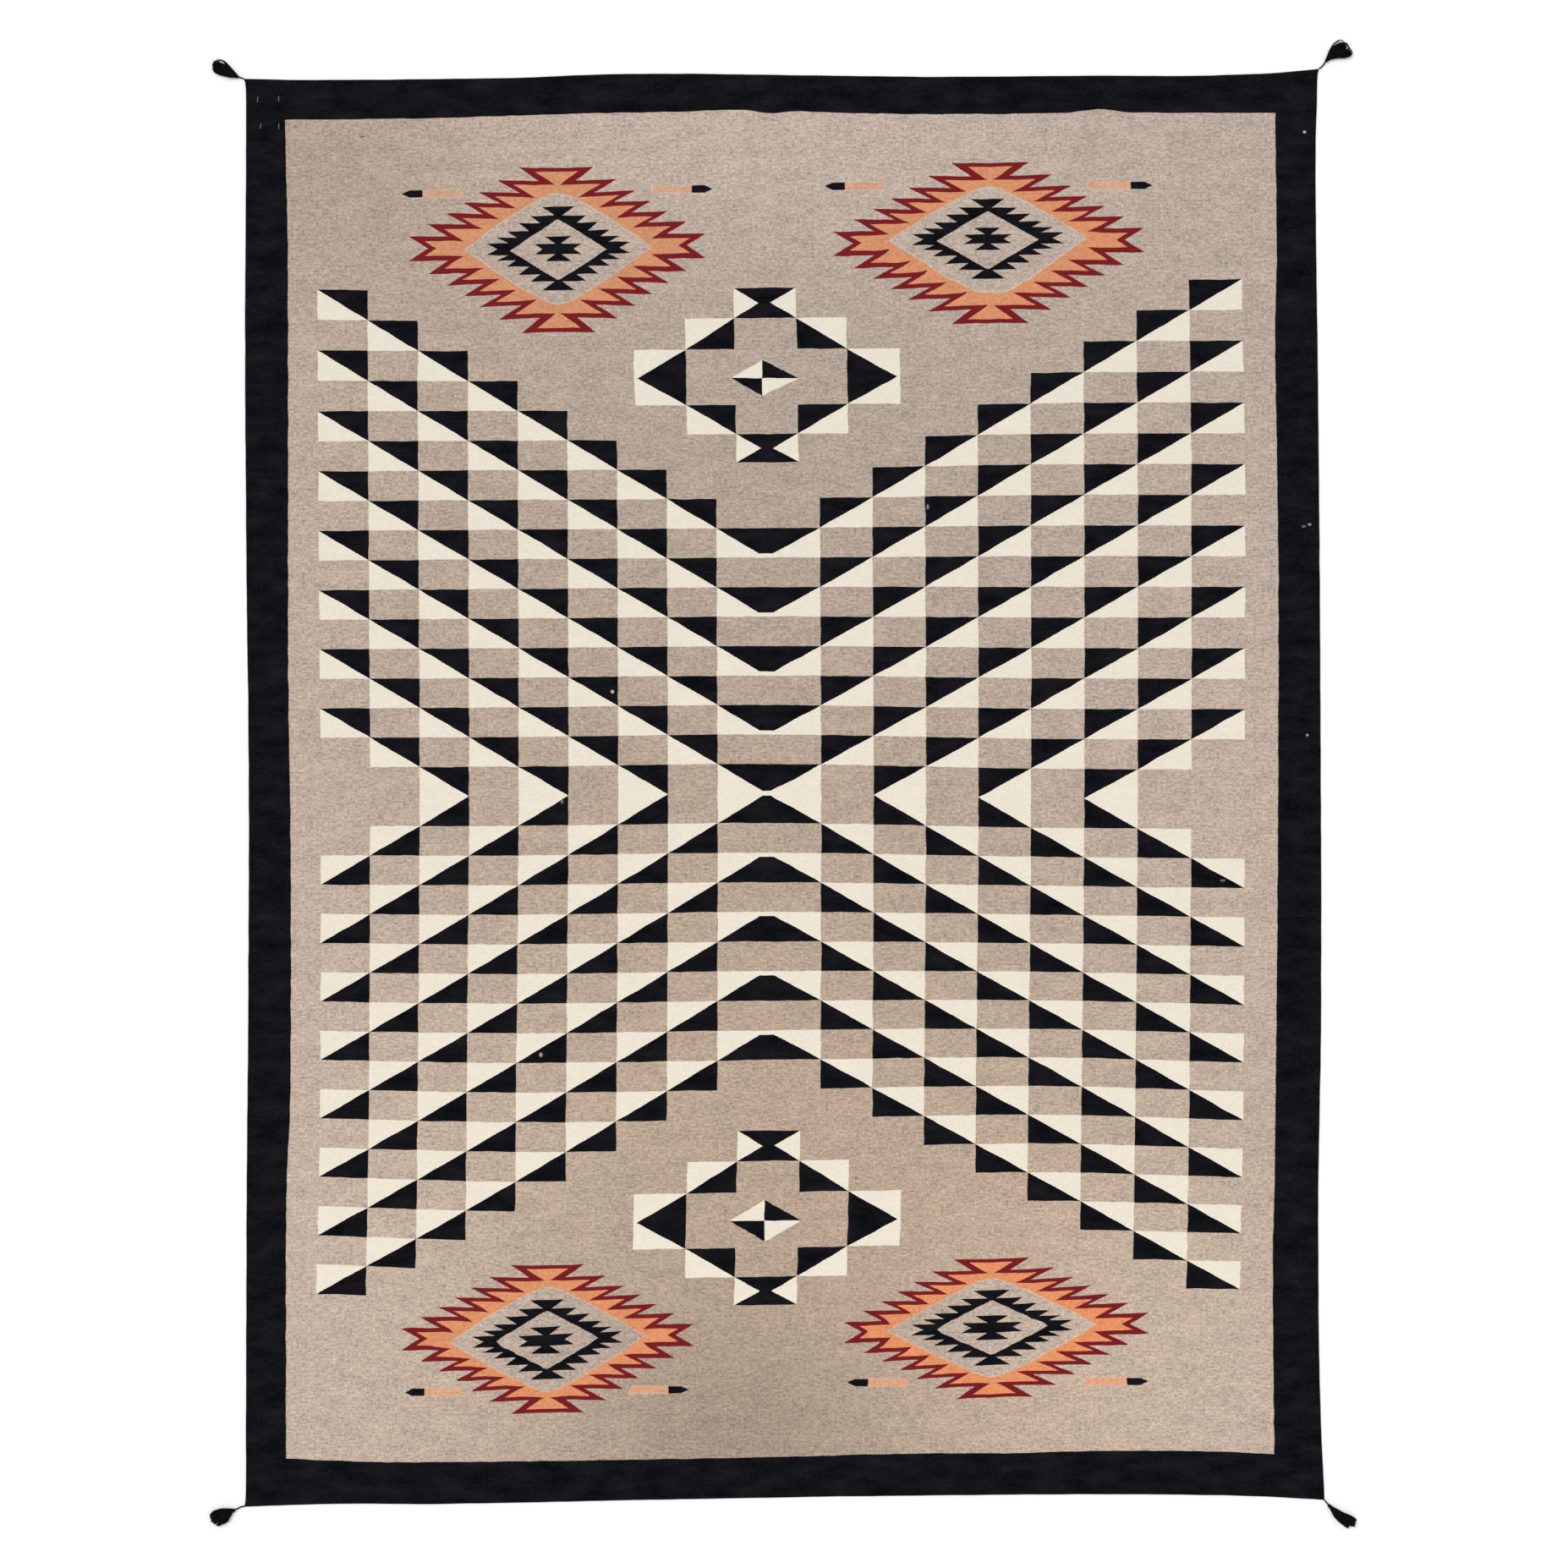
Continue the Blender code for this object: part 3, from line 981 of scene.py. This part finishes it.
def plain_diamond(across, along, sizes, fade=0.0):
    """Inside of a smooth diamond with its upper and lower tips rounded off."""
    width, height, rounding = (value * MM for value in sizes)
    rounded = maths("SQRT", times_plus(across, across, rounding * rounding))
    reach = rounded * (1 / width) + along * (1 / height)
    if not fade:
        return below(reach, 1.0)
    return clamped(times_plus(reach, -height / fade, height / fade + 0.5))


def diamonds(u, v):
    """The serrated diamonds and their arrows. Returns the black, the orange, the red and the hole."""
    across = abs(abs(u) - DIAMOND_U)
    outward = abs(v) - DIAMOND_V
    along = abs(outward)
    slope = smaller(along * SPLAY_GROWTH, SPLAY)
    along = along - slope * larger(across - SPLAY_FROM, 0.0)
    outline = serrated(across, along, OUTLINE_TEETH)
    inner = serrated(across + RED_ACROSS, along + RED_ALONG, OUTLINE_TEETH)
    hole = plain_diamond(across, along, OUTLINE_HOLE, HOLE_FADE)
    red = outline - inner
    orange = inner * (1.0 - hole)
    inward = abs(outward + above(v, 0.0) * RING_HOLE_DROP)
    ring = serrated(across, along, RING_TEETH) - plain_diamond(across, inward, RING_HOLE)
    core = serrated(across, along, CORE_TEETH)
    bar_offset = abs(outward - ARROW_CENTRE[1] * MM)
    before_head = below(across, ARROW_HEAD)
    bar = clamped((ARROW_BAR_HALF - bar_offset) * (1 / BAR_FADE) + 0.5)
    bar = bar * clamped((across - ARROW_START) * (1 / BAR_FADE) + 0.5) * before_head
    head_half = smaller((ARROW_POINT - across) * ARROW_TAPER, ARROW_HEAD_HALF)
    head = below(bar_offset, head_half) * (1.0 - before_head)
    return ring + core + head, orange + bar * BAR_SHARE, red, hole


def spots(x, y, rows):
    """Small soft spots, whose strength falls off from the middle of each."""
    total = 0.0
    for centre_x, centre_y, half_width, half_height, strength in rows:
        across = times_plus(x, 1 / (half_width * MM), -centre_x / half_width)
        along = times_plus(y, 1 / (half_height * MM), -centre_y / half_height)
        reach = times_plus(across, across, along * along)
        total = total + clamped(times_plus(reach, -0.5, 1.0)) * strength
    return total


# Materials


def new_material(name):
    material = bpy.data.materials.new(name)
    material.use_nodes = True
    Wire.tree = material.node_tree
    return material, Wire.tree.nodes["Principled BSDF"]


def weave_height(place):
    """Height of the weave: weft beads over the warp, in rows that lie half a warp apart."""
    x, y = split(place)
    sway = grain(place, 0.020, 0.030, 1.0, 2.0)
    pick = times_plus(y, 1 / PICK_PITCH, sway * 0.5)
    odd = maths("FRACT", maths("FLOOR", pick) * 0.5)
    warp = times_plus(x, 1 / WARP_PITCH, odd + sway * 0.25)
    bead = abs(maths("SINE", warp * math.pi))
    groove = abs(maths("FRACT", pick) - 0.5)
    tangle = grain(place, 0.006, 0.0016, 2.0, 5.0)
    return bead * 0.00022 - groove * groove * 0.0008 + tangle * 0.00016


def bumped(height, distance):
    node = Wire.tree.nodes.new("ShaderNodeBump")
    node.inputs["Strength"].default_value = 1.0
    node.inputs["Distance"].default_value = distance
    plug(height, node.inputs["Height"])
    return Wire(node.outputs[0])


def cloth_material():
    material, shader = new_material("woven_wool")
    place = object_place()
    plug(bumped(weave_height(place), 1.0), shader.inputs["Normal"])
    x, y = split(place)
    wobble_x = grain(place, 0.060, 0.050, 1.0, 11.0)
    wobble_y = grain(place, 0.055, 0.060, 1.0, 17.0)
    uneven = grain(place, 0.012, 0.010, 1.0, 61.0)
    jag = maths("PINGPONG", times_plus(uneven, TOOTH_PITCH * 0.6, y), TOOTH_PITCH / 2)
    jag = times_plus(jag, 4 / TOOTH_PITCH, -1.0) * times_plus(uneven, 0.5, 1.0)
    shift_x = times_plus(jag, TOOTH_DEPTH, wobble_x * WOBBLE)
    shift_y = wobble_y * (WOBBLE * 0.8)

    u, v = map_place("design")
    u = u + shift_x
    v = v + shift_y
    cell_black, cell_cream = cells(u, v)
    medallion_black, medallion_cream = medallion(u, v)
    black = cell_black + medallion_black
    cream = cell_cream + medallion_cream
    diamond_black, orange, red, hole = diamonds(u, v)
    black = black + diamond_black
    depth_across, depth_along = map_place("field")
    border = below(smaller(depth_across + shift_x, depth_along + shift_y), 0.0)
    black = larger(black, border)

    # Light and dark stripes along the warp ribs: painted shade of their relief, which the marl passes on to
    # every yarn colour
    rib_shade = maths("SINE", (x + grain(place, 0.030, 0.060, 1.0, 53.0) * WARP_SWAY) * (2 * math.pi / WARP_PITCH))
    streak = grain(place, 0.020, 0.0062, 2.0, 23.0)
    blotch = grain(place, 0.0072, 0.0050, 1.0, 31.0)
    cloud = grain(place, 0.090, 0.035, 2.0, 47.0)
    marl_and_rib_shade = streak * MARL_STREAK + blotch * MARL_BLOTCH + cloud * MARL_CLOUD + rib_shade * RIB_SHADE_STRENGTH
    warmth = times_plus(cloud, WARMTH_MOTTLE, mesh_value("warmth"))
    tan = mixed(hole * HOLE_SHARE, mixed(warmth, yarn(TAN_COOL), yarn(TAN_WARM)), yarn(TAN_PALE))
    # The soft patches scale the tan; three of them are painted shade along folds
    tan = scaled_by(tan, mesh_value("shade") * (marl_and_rib_shade + 1.0))
    plain = times_plus(marl_and_rib_shade, times_plus(orange, 0.40, 0.20), 1.0)
    cream_yarn = mixed(times_plus(y, -0.30, 0.50), yarn(CREAM_TOP), yarn(CREAM_BOTTOM))
    glow = times_plus(x, 0.27, times_plus(y, -0.23, 0.42))
    orange_yarn = mixed(glow, yarn(ORANGE_DULL), yarn(ORANGE_BRIGHT))
    dyed = mixed(orange, cream_yarn, orange_yarn)
    dyed = scaled_by(mixed(red, dyed, yarn(RED)), plain)
    colour = mixed(cream + orange + red, tan, dyed)
    faded_and_rib_shaded_black = mixed(times_plus(cloud, 0.8, 0.5), yarn(BLACK_BLUE), yarn(BLACK_BROWN))
    faded_and_rib_shaded_black = scaled_by(faded_and_rib_shaded_black, times_plus(cloud, 0.80, times_plus(marl_and_rib_shade, 1.7, 1.0)))
    colour = mixed(black, colour, faded_and_rib_shaded_black)
    colour = mixed(spots(x, y, DARK_SPECKS), colour, yarn(SPECK))
    colour = mixed(spots(x, y, PALE_FLECKS), colour, yarn(FLECK))
    plug(colour, shader.inputs["Base Color"])
    plug(times_plus(streak, 0.06, 0.90), shader.inputs["Roughness"])
    shader.inputs["Specular IOR Level"].default_value = 0.05
    shader.inputs["Sheen Weight"].default_value = 0.02
    shader.inputs["Sheen Roughness"].default_value = 0.5
    return material


def yarn_material():
    material, shader = new_material("black_yarn")
    place = object_place()
    fuzz = grain(place, 0.0012, 0.0012, 2.0, 3.0)
    patch = grain(place, 0.008, 0.008, 1.0, 9.0)
    brown = times_plus(patch, 1.2, 0.2)
    colour = mixed(brown, yarn((14, 14, 17)), yarn((34, 25, 23)))
    plug(scaled_by(colour, times_plus(fuzz, 0.5, 1.0)), shader.inputs["Base Color"])
    plug(bumped(fuzz, 0.0004), shader.inputs["Normal"])
    plug(times_plus(fuzz, 0.1, 0.85), shader.inputs["Roughness"])
    shader.inputs["Specular IOR Level"].default_value = 0.08
    shader.inputs["Sheen Weight"].default_value = 0.02
    shader.inputs["Sheen Roughness"].default_value = 0.4
    return material


def thread_material():
    material, shader = new_material("tack_thread")
    place = object_place()
    fuzz = grain(place, 0.0010, 0.0010, 2.0, 3.0)
    colour = mixed(times_plus(fuzz, 0.5, 0.5), yarn((112, 110, 106)), yarn((150, 146, 138)))
    plug(colour, shader.inputs["Base Color"])
    plug(bumped(fuzz, 0.0003), shader.inputs["Normal"])
    plug(times_plus(fuzz, 0.1, 0.75), shader.inputs["Roughness"])
    return material


# Tassels and stitches


class TubeMesh:
    """Collects yarn-like tubes and makes one mesh of them."""

    def __init__(self):
        self.vertices = []
        self.faces = []

    def add_tube(self, path, radii, sides, ply_pitch=None, phase=0.0):
        """A closed tube along a path. With a ply pitch it is two-lobed and twists like yarn."""
        rings = []
        travelled = 0.0
        side_way = None
        for index, point in enumerate(path):
            before = path[max(index - 1, 0)]
            after = path[min(index + 1, len(path) - 1)]
            forward = (after - before).normalized()
            if side_way is None:
                side_way = forward.orthogonal().normalized()
            side_way = (side_way - forward * side_way.dot(forward)).normalized()
            up_way = forward.cross(side_way)
            if index:
                travelled += (point - before).length
            twist = 0.0 if ply_pitch is None else travelled / ply_pitch * 2 * math.pi + phase
            lobe = 0.0 if ply_pitch is None else 0.22
            ring = []
            for side in range(sides):
                angle = side / sides * 2 * math.pi
                radius = radii[index] * (1 + lobe * math.cos(2 * (angle - twist)))
                offset = side_way * math.cos(angle) + up_way * math.sin(angle)
                ring.append(len(self.vertices))
                self.vertices.append(point + offset * radius)
            rings.append(ring)
        for ring, following in zip(rings, rings[1:]):
            for side in range(sides):
                after = (side + 1) % sides
                self.faces.append((ring[side], ring[after], following[after], following[side]))
        self.faces.append(tuple(reversed(rings[0])))
        self.faces.append(tuple(rings[-1]))

    def make_object(self, name, material):
        mesh = bpy.data.meshes.new(name)
        mesh.from_pydata([tuple(vertex) for vertex in self.vertices], [], self.faces)
        mesh.shade_smooth()
        mesh.materials.append(material)
        obj = bpy.data.objects.new(name, mesh)
        bpy.context.scene.collection.objects.link(obj)
        return obj


class Curve:
    """A smooth curve in plan, read by the fraction of its length."""

    def __init__(self, points):
        self.across = []
        self.along = []
        travelled = [0.0]
        for before, after in zip(points, points[1:]):
            travelled.append(travelled[-1] + math.dist(before, after))
        for (x, y), distance in zip(points, travelled):
            self.across.append((distance / travelled[-1], x * MM))
            self.along.append((distance / travelled[-1], y * MM))
        self.length = travelled[-1] * MM

    def at(self, fraction):
        x = smooth_interpolate(self.across, fraction)
        y = smooth_interpolate(self.along, fraction)
        return Vector((x, y, 0.0))

    def side_way(self, fraction):
        """Level direction square to the curve."""
        ahead = self.at(min(fraction + 0.05, 1.0)) - self.at(max(fraction - 0.05, 0.0))
        return Vector((-ahead.y, ahead.x, 0.0)).normalized()


def neck_height(part):
    """Height of the neck's middle line, from the cloth's rim to the tuft's root."""
    return 0.0022 + 0.0022 * part * part


def add_neck(tubes, neck):
    """The neck: three plies laid round one another, from the cloth's corner into the tuft."""
    steps = int(neck.length / 0.0010)
    for ply in range(NECK_PLIES):
        path = []
        for step in range(steps + 1):
            part = step / steps
            angle = 2 * math.pi * (part * neck.length / NECK_TURN + ply / NECK_PLIES)
            point = neck.at(part) + neck.side_way(part) * NECK_HELIX_RADIUS * math.cos(angle)
            point.z = max(neck_height(part) + NECK_HELIX_RADIUS * math.sin(angle), NECK_PLY_RADIUS)
            path.append(point)
        tubes.add_tube(path, [NECK_PLY_RADIUS] * len(path), 8)


def add_tuft(tubes, one, other, end, rng):
    """The tuft: yarns that leave the neck close together and fan out flat on the floor."""
    for yarn_number in range(YARNS):
        turn = yarn_number * 2.399963
        spread = math.sqrt((yarn_number + 0.5) / YARNS)
        share = 0.5 + 0.5 * spread * math.cos(turn)
        up = spread * math.sin(turn)
        end_reach = end.at(share) - one.at(1.0).lerp(other.at(1.0), share)
        short = rng.uniform(-0.04, 0.05)
        phase = rng.uniform(0, 2 * math.pi)
        sway = rng.uniform(0.4, 1.3) * 0.0016
        seed = rng.uniform(0, 100)
        path = []
        radii = []
        for step in range(YARN_STEPS + 1):
            part = step / YARN_STEPS * (1.0 - short)
            point = one.at(part).lerp(other.at(part), share) + end_reach * part ** 2
            loose = min(part * 2.0, 1.0)
            point.x += noise.noise(Vector((seed, part * 3.5, 0.0))) * sway * loose
            point.y += noise.noise(Vector((seed, part * 3.5, 3.0))) * sway * loose
            half_height = 0.0020 + (TUFT_HALF_HEIGHT - 0.0020) * min(part / 0.3, 1.0)
            middle = 0.0044 + (half_height - 0.0030) * 0.9
            height = middle + up * half_height + noise.noise(Vector((seed, part * 3.5, 7.0))) * sway * loose
            point.z = max(height, YARN_RADIUS * 1.25)
            path.append(point)
            radii.append(YARN_RADIUS * (0.72 + 0.28 * min(part * 4, 1.0)))
        radii[-1] *= 0.7
        tubes.add_tube(path, radii, YARN_SIDES, PLY_PITCH, phase)


def add_loop(tubes, curve):
    """A yarn that stands off from the tuft as a loop."""
    path = []
    for step in range(YARN_STEPS + 1):
        part = step / YARN_STEPS
        point = curve.at(part)
        point.z = YARN_RADIUS * 1.25 + LOOP_HEIGHT * (1 - 0.6 * math.sin(part * math.pi))
        path.append(point)
    tubes.add_tube(path, [YARN_RADIUS] * len(path), YARN_SIDES, PLY_PITCH)


def add_binding(tubes, one, other):
    """The turns of yarn that bind the tuft's root."""
    turns = 5
    steps = turns * 14
    start = one.at(0.0).lerp(other.at(0.0), 0.5)
    ahead = one.at(0.12).lerp(other.at(0.12), 0.5) - start
    forward = ahead.normalized()
    side_way = Vector((-forward.y, forward.x, 0.0))
    path = []
    for step in range(steps + 1):
        part = step / steps
        angle = part * turns * 2 * math.pi
        radius_y = 0.0028 + 0.0012 * part
        radius_z = 0.0028 + 0.0008 * part
        point = start + forward * (0.0055 * part) + side_way * (radius_y * math.cos(angle))
        point.z = max(0.0046 + radius_z * math.sin(angle), 0.0009)
        path.append(point)
    tubes.add_tube(path, [0.0008] * len(path), 6)


def build_tassel(name, shape, material):
    rng = random.Random(name)
    tubes = TubeMesh()
    neck = Curve(shape["neck"])
    one = Curve(shape["one"])
    other = Curve(shape["other"])
    add_neck(tubes, neck)
    add_tuft(tubes, one, other, Curve(shape["end"]), rng)
    add_binding(tubes, one, other)
    for points in shape["loops"]:
        add_loop(tubes, Curve(points))
    tassel = tubes.make_object(name + "_yarn", material)
    x_side, y_side = shape["corner"]
    corner_x, corner_y = cloth_point((x_side + 1) / 2, (y_side + 1) / 2)
    tassel.location = (corner_x, corner_y, 0.0)
    return tassel


def build_stitches(material):
    """Four short tack stitches that show on the top left of the border."""
    tubes = TubeMesh()
    steps = 12
    for x, y, lean in STITCHES:
        path = []
        for step in range(steps + 1):
            part = step / steps
            px = x * MM + lean * MM * part
            py = y * MM + STITCH_LENGTH * part
            side_distance = px + CLOTH_WIDTH / 2
            end_distance = CLOTH_LENGTH / 2 - py
            surface = cloth_faces(px, py, side_distance, end_distance)[1]
            rise = 0.0013 * math.sin(math.pi * part) - 0.0006
            path.append(Vector((px, py, surface + rise)))
        tubes.add_tube(path, [STITCH_RADIUS] * len(path), 8, 0.004)
    return tubes.make_object("tack_stitches", material)


# Floor, light and camera


def build_floor():
    mesh = bpy.data.meshes.new("floor")
    corners = [(-1, -1), (1, -1), (1, 1), (-1, 1)]
    mesh.from_pydata([(x * FLOOR_HALF, y * FLOOR_HALF, 0.0) for x, y in corners], [], [(0, 1, 2, 3)])
    material, shader = new_material("pale_floor")
    shader.inputs["Base Color"].default_value = (0.93, 0.93, 0.93, 1.0)
    shader.inputs["Roughness"].default_value = 0.9
    shader.inputs["Specular IOR Level"].default_value = 0.0
    mesh.materials.append(material)
    floor = bpy.data.objects.new("floor", mesh)
    bpy.context.scene.collection.objects.link(floor)
    return floor


def light_the_scene():
    world = bpy.data.worlds.new("soft_room")
    world.use_nodes = True
    background = world.node_tree.nodes["Background"]
    background.inputs["Color"].default_value = (1.0, 1.0, 1.0, 1.0)
    background.inputs["Strength"].default_value = SKY_STRENGTH
    bpy.context.scene.world = world
    sun_data = bpy.data.lights.new("soft_key", "SUN")
    sun_data.energy = SUN_STRENGTH
    sun_data.angle = math.radians(SUN_SIZE)
    sun = bpy.data.objects.new("soft_key", sun_data)
    sun.rotation_euler = [math.radians(angle) for angle in SUN_TURN]
    bpy.context.scene.collection.objects.link(sun)
    bpy.context.scene.view_settings.view_transform = "Standard"


def place_camera():
    camera_data = bpy.data.cameras.new("camera")
    camera_data.sensor_fit = "HORIZONTAL"
    camera_data.angle = 2 * math.atan(VIEW_WIDTH / 2 / CAMERA_HEIGHT)
    camera_data.clip_end = 100.0
    camera = bpy.data.objects.new("camera", camera_data)
    camera.location = (*VIEW_CENTRE, CAMERA_HEIGHT)
    bpy.context.scene.collection.objects.link(camera)
    bpy.context.scene.camera = camera


def main():
    cloth = build_cloth()
    cloth.data.materials.append(cloth_material())
    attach(cloth, "root")
    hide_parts("woven_cloth")

    black_yarn = yarn_material()
    for name, shape in TASSELS.items():
        tassel = build_tassel(name, shape, black_yarn)
        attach(tassel, "root")
        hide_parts(name)

    stitches = build_stitches(thread_material())
    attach(stitches, "root")

    build_floor()
    light_the_scene()
    place_camera()


main()
